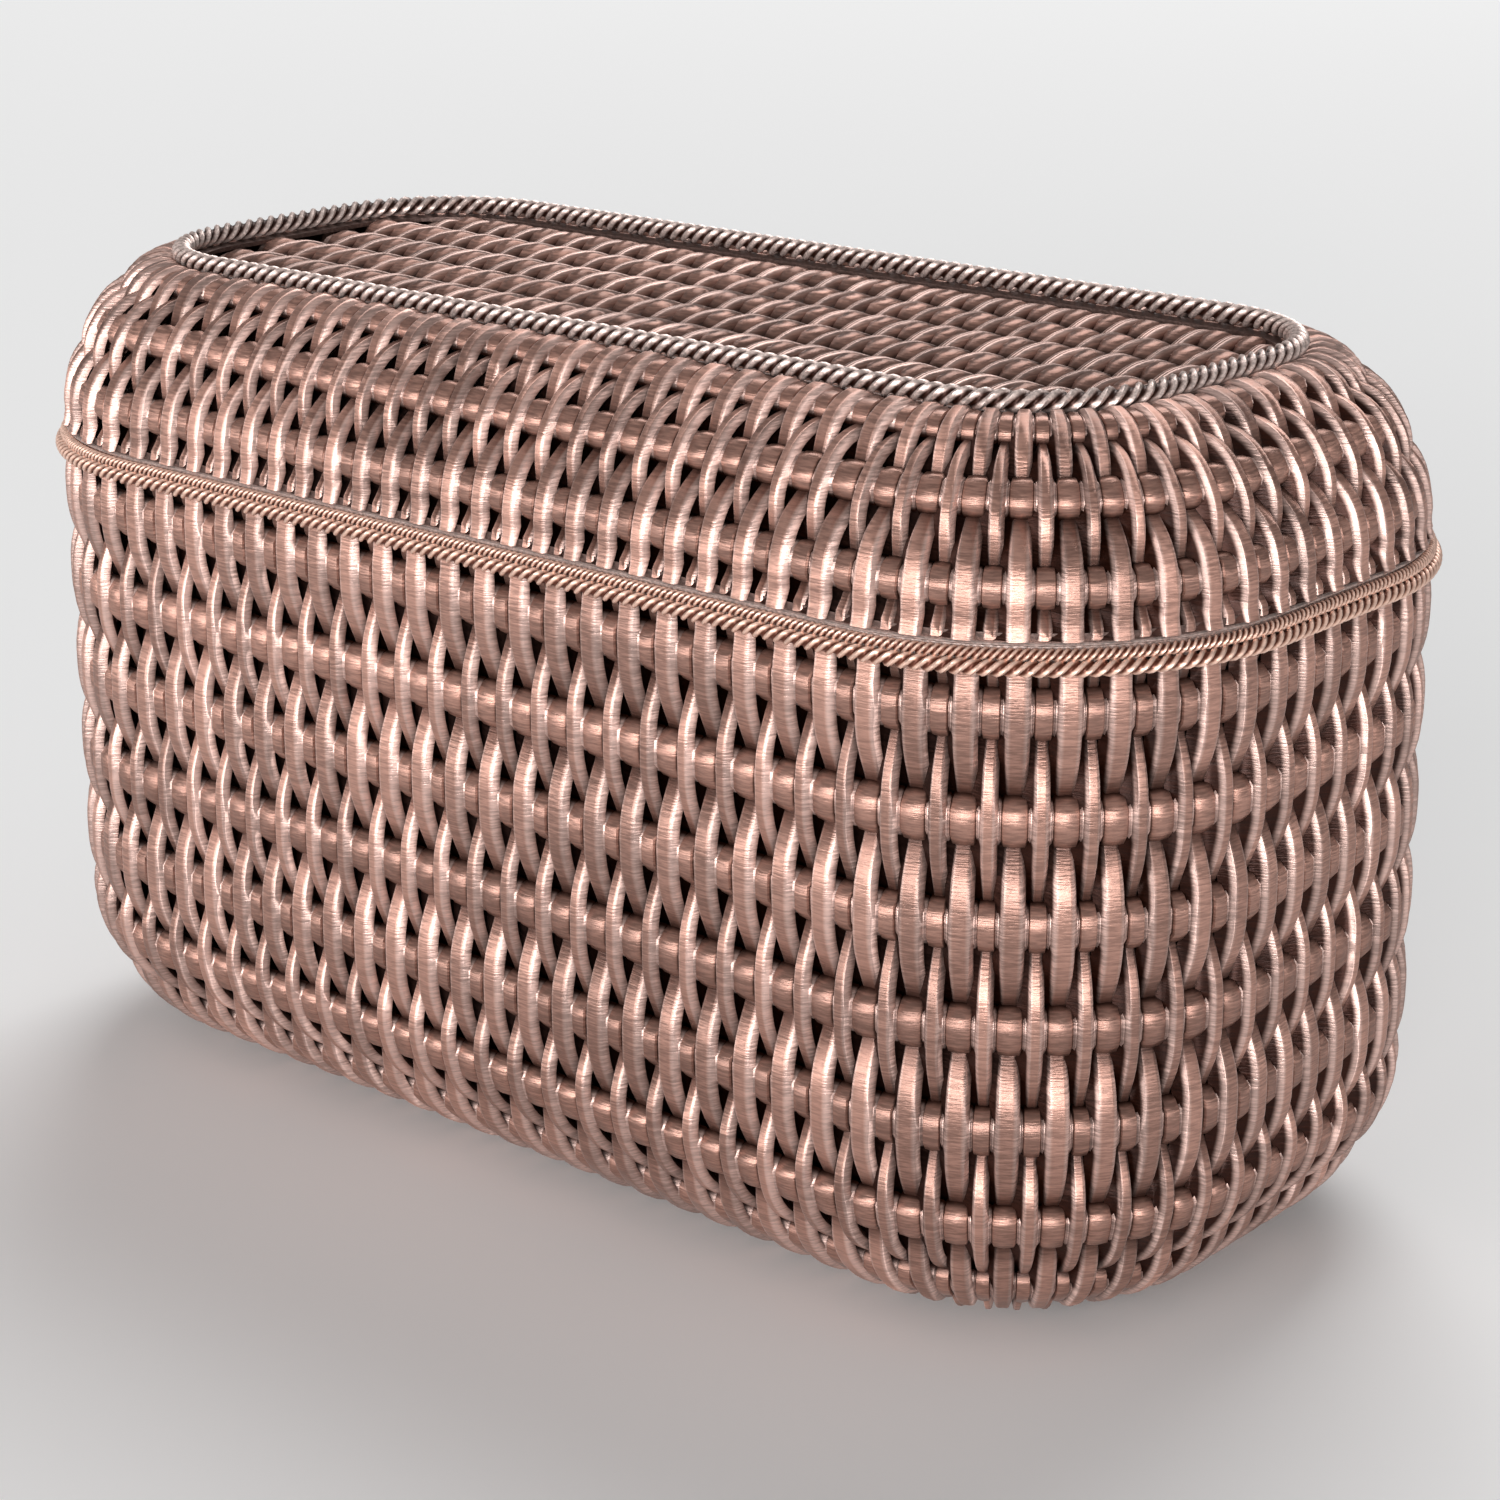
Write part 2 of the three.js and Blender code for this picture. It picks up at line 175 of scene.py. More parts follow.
# A bar along Z from -0.5 to 0.5, cut across evenly. shape(side, share) then gives each vertex its place, and
# the vertex layers that the finishes read: painted shade where it lies deep, painted highlight near its
# flanks.
def makeBar(sides, cuts, shape, capped=True):
    bm = bmesh.new()
    layers = [bm.verts.layers.float.new(name) for name in ("depth", "highlight")]
    bmesh.ops.create_cone(bm, cap_ends=capped, segments=sides, radius1=1, radius2=1, depth=1)
    lengthwise = [e for e in bm.edges if abs(e.verts[0].co.z - e.verts[1].co.z) > 0.5]
    bmesh.ops.subdivide_edges(bm, edges=lengthwise, cuts=cuts, use_grid_fill=True)
    for v in bm.verts:
        side = round(atan2(v.co.y, v.co.x) / (2 * pi) * sides) % sides
        *place, v[layers[0]], v[layers[1]] = shape(side, v.co.z + 0.5)
        v.co = place
    return bm


# Half the section of a strand, from the middle of its face to the middle of its back: how far across, as
# shares of its face's half-width, its flank's reach and its back's half-width, how far in, and how much
# painted highlight
plainSection = [
    (0, 0, 0, 0, 0.15),
    (0.55, 0, 0, 0.01, 0.2),
    (0.86, 0, 0, 0.04, 0.6),
    (0.97, 0, 0, 0.09, 1),
    (1, 0.2, 0, 0.18, 1),
    (1, 1, 0, 0.58, 0.5),
    (0, 0, 1, 0.96, 0),
    (0, 0, 0, 1, 0),
]
ribbedSection = [
    (0, 0, 0, 0, 1),
    (0.2, 0, 0, 0.02, 0.7),
    (0.34, 0, 0, 0.13, 0),
    (0.48, 0, 0, 0.03, 0.7),
    (0.75, 0, 0, 0.05, 1),
    (1, 0.2, 0, 0.2, 0.5),
    (1, 1, 0, 0.52, 0),
    (0, 0, 1, 0.96, 0),
    (0, 0, 0, 1, 0),
]


def sectionPoint(section, side):
    sides = 2 * (len(section) - 1)
    turn = (sides // 4 - side) % sides  # sides count from +X, the section from the face's middle
    if turn <= sides // 2:
        return *section[turn], litShade
    ofFace, ofFlank, ofBack, inwards, highlightAmount = section[sides - turn]
    return -ofFace, -ofFlank, -ofBack, inwards, highlightAmount, dimShade


litShade = 0.85  # how fast painted shade darkens a right flank, the lit one, on its way in
dimShade = 1.5  # and a left one, the shaded one


def smoothStep(share):
    share = min(max(share, 0), 1)
    return share * share * (3 - 2 * share)


def mix(low, high, share):
    return low + (high - low) * share


# A group of shader nodes is built once and placed in each finish with its own values.
def newGroup(name, inputs, outputs):
    group = bpy.data.node_groups.new(name, "ShaderNodeTree")
    for socket, kind in inputs.items():
        group.interface.new_socket(socket, in_out="INPUT", socket_type=f"NodeSocket{kind}")
    for socket, kind in outputs.items():
        group.interface.new_socket(socket, in_out="OUTPUT", socket_type=f"NodeSocket{kind}")
    return group, group.nodes.new("NodeGroupInput"), group.nodes.new("NodeGroupOutput")


# Feeds a node's sockets from values or from other nodes' sockets.
def feedSockets(tree, node, inputs):
    for socket, value in inputs.items():
        if isinstance(value, bpy.types.NodeSocket):
            tree.links.new(value, node.inputs[socket])
        else:
            node.inputs[socket].default_value = value


def addNode(tree, kind, inputs, **settings):
    node = tree.nodes.new("ShaderNode" + kind)
    for name, value in settings.items():
        setattr(node, name, value)
    feedSockets(tree, node, inputs)
    return node


def placeGroup(tree, group, inputs):
    node = tree.nodes.new("ShaderNodeGroup")
    node.node_tree = group
    feedSockets(tree, node, inputs)
    return node.outputs


def blendColours(tree, share, low, high):
    node = addNode(tree, "Mix", {0: share, 6: low, 7: high}, data_type="RGBA")
    return node.outputs[2]


def rescale(tree, value, fromLow, fromHigh, toLow=0.0, toHigh=1.0):
    places = {"Value": value, "From Min": fromLow, "From Max": fromHigh, "To Min": toLow, "To Max": toHigh}
    return addNode(tree, "MapRange", places, interpolation_type="SMOOTHSTEP").outputs["Result"]


# Fine level streaks, such as layers leave on moulded cane: a mask of tone and the same ridges as a height
def makeStreaks():
    sockets = {"Position": "Vector", "Length": "Float", "Thickness": "Float"}
    group, given, result = newGroup("levelStreaks", sockets, {"Mask": "Float", "Height": "Float"})
    across = addNode(group, "Math", {0: 1.0, 1: given.outputs["Length"]}, operation="DIVIDE").outputs[0]
    upwards = addNode(group, "Math", {0: 1.0, 1: given.outputs["Thickness"]}, operation="DIVIDE").outputs[0]
    stretch = addNode(group, "CombineXYZ", {"X": across, "Y": across, "Z": upwards}).outputs[0]
    place = addNode(group, "VectorMath", {0: given.outputs["Position"], 1: stretch}, operation="MULTIPLY")
    grain = {"Vector": place.outputs[0], "Scale": 1.0, "Detail": 3.0, "Roughness": 0.6}
    noise = addNode(group, "TexNoise", grain).outputs["Fac"]
    group.links.new(rescale(group, noise, *streakFrom), result.inputs["Mask"])
    group.links.new(noise, result.inputs["Height"])
    return group


# Cane colour, varied from strand to strand, with painted shade where it lies deep and painted highlight on
# flanks
def makeCaneShading():
    sockets = {"Face": "Color", "Highlight": "Color", "Shadow": "Color", "Spread": "Float", "Streaks": "Float"}
    group, given, result = newGroup("caneShading", sockets, {"Color": "Color"})
    layers = [addNode(group, "Attribute", {}, attribute_name=name) for name in ("tone", "depth", "highlight")]
    tone, depth, highlight = (layer.outputs["Fac"] for layer in layers)
    highlightMask = rescale(group, highlight, *highlightFrom)
    faceColour = blendColours(group, highlightMask, given.outputs["Face"], given.outputs["Highlight"])
    colour = blendColours(group, rescale(group, depth, *darkFrom), faceColour, given.outputs["Shadow"])
    varied = addNode(group, "Math", {0: tone, 1: given.outputs["Streaks"]}, operation="ADD").outputs[0]
    low = addNode(group, "Math", {0: 1.0, 1: given.outputs["Spread"]}, operation="SUBTRACT").outputs[0]
    high = addNode(group, "Math", {0: 1.0, 1: given.outputs["Spread"]}, operation="ADD").outputs[0]
    strength = rescale(group, varied, 0.0, 2.0, low, high)
    scaled = addNode(group, "VectorMath", {0: colour, "Scale": strength}, operation="SCALE").outputs[0]
    group.links.new(scaled, result.inputs["Color"])
    return group


highlightFrom = (0.0, 1.0)  # how near a strand's flank its painted highlight turns its colour pale
darkFrom = (0.25, 0.75)  # how deep in a strand its painted shade turns its colour dark
streakFrom = (0.3, 0.7)  # the stretch of the noise that a streak's tone follows
ridgeHeight = 0.2  # of the level streaks, in millimetres
streaks = makeStreaks()
caneShading = makeCaneShading()


def makeFinish(name, look):
    material = bpy.data.materials.new(name)
    material.use_nodes = True
    tree = material.node_tree
    position = addNode(tree, "TexCoord", {}).outputs["Object"]
    sizes = {"Position": position, "Length": look["streak"][0] * mm, "Thickness": look["streak"][1] * mm}
    ridges = placeGroup(tree, streaks, sizes)
    colours = {name.capitalize(): (*look[name], 1) for name in ("face", "highlight", "shadow")}
    colours.update({"Spread": look["spread"], "Streaks": ridges["Mask"]})
    relief = {"Height": ridges["Height"], "Strength": look["bump"], "Distance": ridgeHeight * mm}
    surface = {
        "Base Color": placeGroup(tree, caneShading, colours)["Color"],
        "Roughness": rescale(tree, ridges["Mask"], 0.0, 1.0, *look["roughness"]),
        "Normal": addNode(tree, "Bump", relief).outputs["Normal"],
        "Metallic": look["metallic"],
        "Anisotropic": look["anisotropic"],
        "Tangent": layerAxis,
    }
    feedSockets(tree, tree.nodes["Principled BSDF"], surface)
    return material


layerAxis = (0, 0.3, 1)  # the moulded layers lie level, so that gloss spreads up and down

# The finishes: linear colours of the face, of painted highlight and of painted shade, shares of spread and
# metal, streaks' length and thickness in millimetres
woven = {
    "face": (0.36, 0.19, 0.145),
    "highlight": (0.58, 0.4, 0.35),
    "shadow": (0.03, 0.008, 0.004),
    "spread": 0.4,
    "metallic": 0.65,
    "anisotropic": 0.88,
    "roughness": (0.34, 0.45),
    "streak": (3, 0.3),
    "bump": 0.3,
}
roped = {
    "face": (0.5, 0.25, 0.17),
    "highlight": (0.85, 0.58, 0.47),
    "shadow": (0.1, 0.025, 0.012),
    "spread": 0.2,
    "metallic": 0.5,
    "anisotropic": 0,
    "roughness": (0.3, 0.45),
    "streak": (2, 0.5),
    "bump": 0.3,
}
weaveFinish = makeFinish("satinCane", woven)
ropeFinish = makeFinish("copperRope", roped)
ringLook = {"face": (0.5, 0.36, 0.32), "highlight": (0.74, 0.6, 0.55), "anisotropic": 0, "streak": (0.6, 0.4)}
ringFinish = makeFinish("satinRing", {**woven, **ringLook})
print("finishes mixed")


# Rings of a bar: as many as the spacing asks between each two stops, so that one lies at every stop
def ringLevels(stops, spacing):
    levels = [stops[0]]
    for low, high in zip(stops, stops[1:]):
        count = max(1, round(abs(high - low) / spacing))
        levels += [mix(low, high, step / count) for step in range(1, count + 1)]
    return levels


# How far a strand lies over (1) or under (0) the rows, which it passes in turn
def overShare(level, rows, kind):
    first, last = rows[1] - rows[0], rows[-1] - rows[-2]
    stops = [rows[0] - first, *rows, rows[-1] + last]
    phase = np.interp(level, stops, range(-1, len(rows) + 1))
    return 0.5 + 0.5 * cos(pi * (phase + kind))


# One upright strand, flat: kind 0 passes over the first row from its foot, kind 1 under it.
def makeStrand(weave, stops, rows, kind):
    levels = ringLevels(stops, weave["ringSpacing"])
    top, foot = levels[0], levels[-1]
    halfWidth = weave["halfWidths"][kind]
    middle = (top + foot) / 2

    def shape(side, share):
        ofFace, ofFlank, ofBack, inwards, highlightAmount, darkening = sectionPoint(weave["section"], side)
        level = levels[round(share * (len(levels) - 1))]
        ramp = smoothStep((top - level) / weave["topRamp"]) * smoothStep((level - foot) / weave["footRamp"])
        endFace = weave["topFaces" if level > middle else "footFaces"][kind]
        risen = 1 - (1 - overShare(level, rows, kind)) ** weave["dive"]
        face = mix(endFace, mix(weave["underFace"], weave["overFace"], risen), ramp)
        offRow = min(abs(level - row) for row in rows)
        saddle = risen * smoothStep(saddleSpan - offRow / weave["saddle"])
        reach = ofFace * halfWidth * mix(weave["taper"], 1, risen)
        reach += ofFlank * weave["flankReach"] * (1 + saddle)
        reach += ofBack * mix(*weave["backWidths"], risen)
        depth = inwards * mix(weave["endThickness"], weave["thickness"], ramp)
        # Painted shade: the further the face lies behind overFace, and the further in from the face, the
        # darker
        shade = max((weave["overFace"] - face) / weave["darkDepth"], darkening * inwards)
        return reach, level, face - depth, shade if inwards < 1 else backShade, highlightAmount

    return makeBar(2 * (len(weave["section"]) - 1), len(levels) - 2, shape)


backShade = 0.5  # painted shade on the middles of the backs, which show inside
saddleSpan = 1.6  # where a strand's widening over a weaver ends, in lengths of its saddle


# One ring of weaver, flat, along all the strands. It bulges between those that lie over it, and has a collar
# under each of them.
def makeWeaver(weave, strands, row, kind):
    places = weaverPlaces(weave, kind)
    samples = int(strands["total"]) * len(places)

    def shape(side, share):
        turn, number = divmod(round(share * samples), len(places))
        return weaverPoint(weave, side, turn + kind / 2, row, *places[number])

    return makeBar(weaverSides, samples - 1, shape, capped=False)


# Places along a weaver from the middle of one strand over it to the next: where each lies, how swollen the
# weaver is there, and its painted highlight and painted shade
def weaverPlaces(weave, kind):
    edge = weave["halfWidths"][kind] + weave["collarReach"]
    step = weave["collarStep"]
    crease = (edge + creaseSteps * step, creaseSwell, 0, creaseShade)
    # The collars carry full painted highlight and the crease painted shade
    half = [(0, 1, 1, 0), (edge, 1, 1, 0), (edge + step, 0, 1, 0), crease]
    beads = [
        (mix(edge, 1 - edge, share), weave["beadBulge"] * swell, beadHighlight, 0)
        for share, swell in beadShape
    ]
    return half + beads + [(1 - within, *look) for within, *look in reversed(half[1:])]


# A point of a weaver's surface: full and round-edged outwards, nearly flat inwards
def weaverPoint(weave, side, start, row, within, swell, highlightAmount, shade):
    half = weave["weaverHeight"] / 2 + weave["collarRise"] * swell
    face = weave["weaverFace"] + weave["collarRise"] * swell
    depth = weave["weaverDepth"] + weave["collarRise"] * swell
    if side > weaverSides // 2:
        upwards = cos(2 * pi * side / weaverSides)
        inwards = depth + weave["weaverBack"] * (1 - upwards * upwards)
        height = row + half * backHeight * upwards
        # Painted shade on the back, darker towards its upper and lower edges
        return start + within, height, face - inwards, mix(backShade, 1, abs(upwards)), 0
    offMiddle = 1 - 4 * side / weaverSides
    upwards = (1 - (1 - abs(offMiddle)) ** edgeCrowding) * (1 if offMiddle > 0 else -1)
    inwards = abs(upwards) ** weave["boxy"]
    # Painted shade where the front turns in towards its upper and lower edges
    shade = max(shade, weave["edgeShade"] * inwards)
    return start + within, row + half * upwards, face - depth * inwards, shade, highlightAmount


weaverSides = 12
backHeight = 0.9  # a share of the front's
edgeCrowding = 1.7  # draws the points of a weaver's front towards its upper and lower edges
beadShape = ((0.16, 0.78), (0.5, 1), (0.84, 0.78))  # shares of a bead's length and of its bulge there
beadHighlight = 0.18  # a bead's painted highlight, where a collar has 1
creaseSteps = 1.6  # from a collar's edge to the crease of painted shade beside it, in lengths of collarStep
creaseSwell = 0.1  # how swollen the weaver is there
creaseShade = 0.72  # and how dark its painted shade is


# One more layer that the finishes read: the tone of each strand
def setTones(bm, tones):
    layer = bm.verts.layers.float.new("tone")
    for v, tone in zip(bm.verts, np.broadcast_to(tones, len(bm.verts))):
        v[layer] = tone


def meshOf(bm, name):
    mesh = bpy.data.meshes.new(name)
    bm.to_mesh(mesh)
    bm.free()
    return mesh


def addPiece(name, bm, body, material, nodes=()):
    mesh = meshOf(bm, name)
    mesh.shade_smooth()
    mesh.set_sharp_from_angle(angle=radians(sharpAngle))
    mesh.materials.append(material)
    piece = bpy.data.objects.new(name, mesh)
    bpy.context.scene.collection.objects.link(piece)
    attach(piece, body)
    if nodes:
        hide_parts(*nodes)
    return piece


sharpAngle = 55
plainTone = 0.5  # of pieces that don't vary


# Which of the eight panels of a wall a point of its plan belongs to
def panelOf(x, y):
    sideways, depthways = "left" if x < 0 else "right", "front" if y < 0 else "back"
    if abs(x) > straightX + panelSlack and abs(y) > straightY + panelSlack:
        return f"corner_{depthways}_{sideways}"
    return depthways if abs(x) <= straightX + panelSlack else sideways


panelSlack = 0.3  # so that a strand just where a corner starts counts as on the straight


# All the strands of a body's wall, in its eight panels, and its rings of weaver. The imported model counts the
# basket's weavers from its rim down and the lid's from its foot up.
def weaveWall(body, weave, wall, rows):
    strands = ruler(weave["strands"])
    stops = [wall["length"][-1], *reversed(rows), 0]
    templates = [meshOf(makeStrand(weave, stops, rows, kind), "strand") for kind in (0, 1)]
    panels = {}
    for index in range(2 * int(strands["total"])):
        x, y, _, _ = rimPoints(np.interp(index / 2, strands["mark"], strands["station"]))
        panels.setdefault(panelOf(x, y), []).append(index)
    tones = np.array([random.random() for _ in range(2 * int(strands["total"]))])
    for panel, indices in panels.items():
        bm = bmesh.new()
        for index in indices:
            before = len(bm.verts)
            bm.from_mesh(templates[index % 2])
            bm.verts.ensure_lookup_table()
            bmesh.ops.translate(bm, vec=(index / 2, 0, 0), verts=bm.verts[before:])
        setTones(bm, tones[np.round(flatCoordinates(bm)[:, 0] * 2).astype(int) % len(tones)])
        wrapOnWall(bm, wall, strands)
        nodes = [f"{body}_stakes_{panel}"]
        addPiece(f"{body}_strands_{panel}", bm, body, weaveFinish, nodes)
    for number, row in enumerate(sorted(rows, reverse=body == "basket"), 1):
        bm = makeWeaver(weave, strands, row, rows.index(row) % 2)
        setTones(bm, random.random())
        wrapOnWall(bm, wall, strands)
        bmesh.ops.remove_doubles(bm, verts=bm.verts, dist=seamGap * mm)
        nodes = [f"{body}_weaver_{number}"]
        addPiece(f"{body}_weaving_{number}", bm, body, weaveFinish, nodes)
    for mesh in templates:
        bpy.data.meshes.remove(mesh)


# What both walls share. Faces are levels outwards from the wall's curve: overFace is a strand's where it
# passes over a weaver and underFace where it passes under. Its painted shade is 1 at darkDepth behind
# overFace.
# Near its ends it goes over to topFaces and footFaces, within topRamp and footRamp. Widths and reaches across
# are shares of the strands' pitch. Pairs are for the wide strands and the narrow ones, but backWidths is for
# under a weaver and over one.
wallWeave = {
    "inset": 2.2,
    "dive": 1.6,  # how long a strand stays up before it goes under
    "section": plainSection,
    "thickness": 2.6,
    "endThickness": 1.2,
    "flankReach": 0.06,
    "taper": 0.9,
    "boxy": 4.5,  # how square a weaver's front is
    # painted shade where a weaver's front turns in at its edges
    "edgeShade": 0.85,
    "weaverBack": 0.4,
    "collarRise": 0.3,
    "collarReach": 0.08,
    "collarStep": 0.03,
}

# The basket's wall: upright, then rounded under. Its strands cross the weavers in turn.
basket = {
    **wallWeave,
    "strands": [(15, cornerMiddle), (14, endMiddle), (30, 2 * cornerMiddle), (14, endMiddle),
                (15, cornerMiddle)],
    "footRadius": 30,
    "footSweep": 80,
    "footClear": 1.66,
    "footSteps": 24,
    "wallSteps": 8,
    "rows": 7,
    "firstRow": 7.8,
    "rowPitch": 15.5,
    "overFace": 2.2,
    "darkDepth": 4.4,
    "underFace": -1.4,
    "topFaces": (1.6, -0.1),
    "footFaces": (0.4, 0.4),
    "halfWidths": (0.195, 0.115),
    "backWidths": (0.85, 0.34),
    "saddle": 1.8,
    "topRamp": 6,
    "footRamp": 8,
    "ringSpacing": 1.56,
    "weaverFace": 1,
    "weaverHeight": 6.7,
    "weaverDepth": 2.1,
    "beadBulge": 2.5,
}
ropeLevel = (ropeLow.z + ropeHigh.z) / 2


def makeBasket():
    radius, sweep = basket["footRadius"], radians(basket["footSweep"])
    footLevel = radius * sin(sweep) + basket["footClear"]
    footSteps, wallSteps = basket["footSteps"], basket["wallSteps"]
    turns = [sweep * (1 - step / footSteps) for step in range(footSteps + 1)]
    points = [(-basket["inset"] - radius * (1 - cos(turn)), footLevel - radius * sin(turn)) for turn in turns]
    shares = [step / wallSteps for step in range(1, wallSteps + 1)]
    points += [(-basket["inset"], mix(footLevel, ropeLevel, share)) for share in shares]
    wall = wallTable(points)
    top = wall["length"][-1]
    rows = [top - basket["firstRow"] - basket["rowPitch"] * step for step in reversed(range(basket["rows"]))]
    weaveWall("basket", basket, wall, rows)


makeBasket()
print("basket woven")

# The lid's wall: one shoulder from its foot over to the ring on its top
lidStraight = 64.5
lidCorner = cornerMiddle - lidStraight
lid = {
    **wallWeave,
    "strands": [(10, lidStraight), (6, lidCorner), (14, endMiddle), (6, lidCorner), (20, 2 * lidStraight),
                (6, lidCorner), (14, endMiddle), (6, lidCorner), (10, lidStraight)],
    "topInset": 19.3,
    "footGap": 0.3,
    "ringGap": 0.6,
    "curveSteps": 40,
    "tuck": 3,
    "tuckSteps": 3,
    "rise": 0.52,
    "run": 0.42,
    "rows": (6.9, 19.4, 31.4),
    "overFace": 2.0,
    "darkDepth": 4.2,
    "underFace": -1.2,
    "topFaces": (0.6, 0.3),
    "footFaces": (2, 1),
    "halfWidths": (0.18, 0.115),
    "backWidths": (0.88, 0.36),
    "saddle": 1.5,
    "topRamp": 4,
    "footRamp": 3,
    "ringSpacing": 1.3,
    "weaverFace": 0.85,
    "weaverHeight": 5.2,
    "weaverDepth": 1.8,
    "beadBulge": 2.2,
}
ringLevel = (ringLow.z + ringHigh.z) / 2


def makeLid():
    foot, top = ledgeTop + lid["footGap"], ringLow.z - lid["ringGap"]
    rise, run = (top - foot) * lid["rise"], (lid["topInset"] - lid["inset"]) * lid["run"]
    inset, topInset, tuckSteps = lid["inset"], lid["topInset"], lid["tuckSteps"]
    knots = [(-inset, foot), (-inset, foot + rise), (-topInset + run, top), (-topInset, top)]
    curve = interpolate_bezier(*[Vector((x, y, 0)) for x, y in knots], lid["curveSteps"])
    points = [(p.x, p.y) for p in curve]
    points += [(-topInset - lid["tuck"] * step / tuckSteps, top) for step in range(1, tuckSteps + 1)]
    weaveWall("lid", lid, wallTable(points), lid["rows"])


makeLid()
print("lid woven")

# The lid's top: broad strips from front to back over and under six weavers, inside the ring. Here widths and
# reaches across are in millimetres.
crown = {
    "stripPitch": 6.45,
    "strips": 14,
    "weaverPitch": 12.4,
    "rows": 6,
    "inset": 23.2,
    "shortest": 4,
    "rowClear": 1,
    "level": ringLow.z - 0.9,
    "overFace": 0.75,
    "darkDepth": 3,
    "underFace": -1.8,
    "dive": 1.3,
    "section": ribbedSection,
    "topFaces": (0, 0),
    "footFaces": (0, 0),
    "thickness": 1.8,
    "endThickness": 1.2,
    "halfWidths": (0.55, 0.85),
    "flankReach": 0.25,
    "backWidths": (3, 1.6),
    "saddle": 1.5,
    "taper": 0.9,
    "topRamp": 5,
    "footRamp": 5,
    "ringSpacing": 1.5,
    "weaverFace": -0.3,
    "weaverHeight": 6.4,
    "boxy": 2.6,
    "edgeShade": 0.9,
    "weaverDepth": 1.8,
    "weaverBack": 0.3,
    "beadBulge": 4.5,
    "collarRise": 0.3,
    "collarReach": 0.5,
    "collarStep": 0.12,
}


# How far the plan, drawn in by an inset, reaches in one direction beside a given place in the other
def planReach(place, inset, straightAcross, straightAlong):
    radius = cornerRadius - inset
    return straightAlong + sqrt(max(0, radius**2 - max(0, abs(place) - straightAcross) ** 2))


# Sets a flat mat down at a level.
def layAt(bm, level):
    flat = flatCoordinates(bm)
    moveTo(bm, flat[:, 0], flat[:, 1], level + flat[:, 2])


def makeTop():
    rows = [(step - (crown["rows"] - 1) / 2) * crown["weaverPitch"] for step in range(crown["rows"])]
    halfLength = straightX + cornerRadius - crown["inset"]
    bm = bmesh.new()
    for index in range(-2 * crown["strips"], 2 * crown["strips"] + 1):
        x = index / 2 * crown["stripPitch"]
        reach = planReach(x, crown["inset"], straightX, straightY)
        if abs(x) + crown["halfWidths"][0] > halfLength or reach < crown["shortest"]:
            continue
        within = [row for row in rows if abs(row) < reach - crown["rowClear"]]
        strip = makeStrand(crown, [reach, *reversed(within), -reach], rows, index % 2)
        bmesh.ops.translate(strip, vec=(x, 0, 0), verts=strip.verts)
        setTones(strip, random.random())
        mesh = meshOf(strip, "strip")
        bm.from_mesh(mesh)
        bpy.data.meshes.remove(mesh)
    layAt(bm, crown["level"])
    addPiece("lid_top_strands", bm, "lid", weaveFinish, ["lid_top_strips"])
    for number, row in enumerate(rows, 1):
        reach = planReach(row, crown["inset"], straightY, straightX)
        bm = makeTopWeaver(row, (number + 1) % 2, reach)
        setTones(bm, random.random())
        layAt(bm, crown["level"])
        nodes = [f"lid_top_weaver_{number}"]
        addPiece(f"lid_top_weaving_{number}", bm, "lid", weaveFinish, nodes)


def makeTopWeaver(row, kind, reach):
    pitch = crown["stripPitch"]
    shares = {**crown, "halfWidths": [half / pitch for half in crown["halfWidths"]]}
    shares.update(collarReach=crown["collarReach"] / pitch, collarStep=crown["collarStep"] / pitch)
    stations = [
        ((turn + kind / 2 + within) * pitch, *look)
        for turn in range(-crown["strips"] - 1, crown["strips"] + 1)
        for within, *look in weaverPlaces(shares, kind)
        if abs(turn + kind / 2 + within) * pitch < reach
    ]

    def shape(side, share):
        return weaverPoint(crown, side, 0, row, *stations[round(share * (len(stations) - 1))])

    return makeBar(weaverSides, len(stations) - 2, shape)


makeTop()
print("top woven")

# Ropes of three laid strands: diameter, level, reach from the rim's line, length of a turn, and which way it
# leans
ropes = {
    "rim_cord_lower": {
        "diameter": 2.5,
        "level": ropeLevel - 0.5,
        "reach": 0,
        "lay": 5.7,
        "lean": 1,
        "finish": ropeFinish,
        "body": "basket",
        "nodes": ["rim_rope"],
    },
    "rim_cord_upper": {
        "diameter": 1.9,
        "level": ropeLevel + 1.3,
        "reach": -0.6,
        "lay": 3.3,
        "lean": 1,
        "finish": ropeFinish,
        "body": "basket",
        "nodes": [],
    },
    "top_ring": {
        "diameter": 3.4,
        "level": ringLevel,
        "reach": -ringInset,
        "lay": 7.6,
        "lean": 1,
        "finish": ringFinish,
        "body": "lid",
        "nodes": ["top_rope"],
    },
}
ropeStrands = 3
ropeSides = 15
ropeRing = 0.4  # from one ring of its vertices to the next
ropeDarkening = 2  # how fast painted shade darkens the grooves between its strands
ropePaling = 3  # and how fast its painted highlight fades there


# The outline of three round strands laid together: its reach at an angle from the middle of one
def laidReach(angle, diameter):
    strand = diameter / 2 / (1 + 2 / sqrt(3))
    centre = 2 / sqrt(3) * strand
    turn = (angle + pi / 3) % (2 * pi / 3) - pi / 3
    return centre * cos(turn) + sqrt(strand**2 - (centre * sin(turn)) ** 2)


def makeRope(name, rope):
    loop = loopRuler(-rope["reach"])
    length = float(loop["total"])
    turns = round(length / rope["lay"] * ropeStrands) / ropeStrands

    def shape(side, share):
        angle = 2 * pi * side / ropeSides
        reach = laidReach(angle, rope["diameter"])
        laid = angle - rope["lean"] * 2 * pi * turns * share
        depth = 1 - reach / rope["diameter"] * 2
        height, outwards = rope["level"] + reach * cos(laid), rope["reach"] + reach * sin(laid)
        # Painted shade in the grooves between the laid strands and painted highlight on their crests
        return share * length, height, outwards, ropeDarkening * depth, 1 - ropePaling * depth

    bm = makeBar(ropeSides, round(length / ropeRing) - 1, shape, capped=False)
    setTones(bm, plainTone)
    wrapOnPlan(bm, loop)
    addPiece(name, bm, rope["body"], rope["finish"], rope["nodes"])


for name, rope in ropes.items():
    makeRope(name, rope)
print("ropes laid")
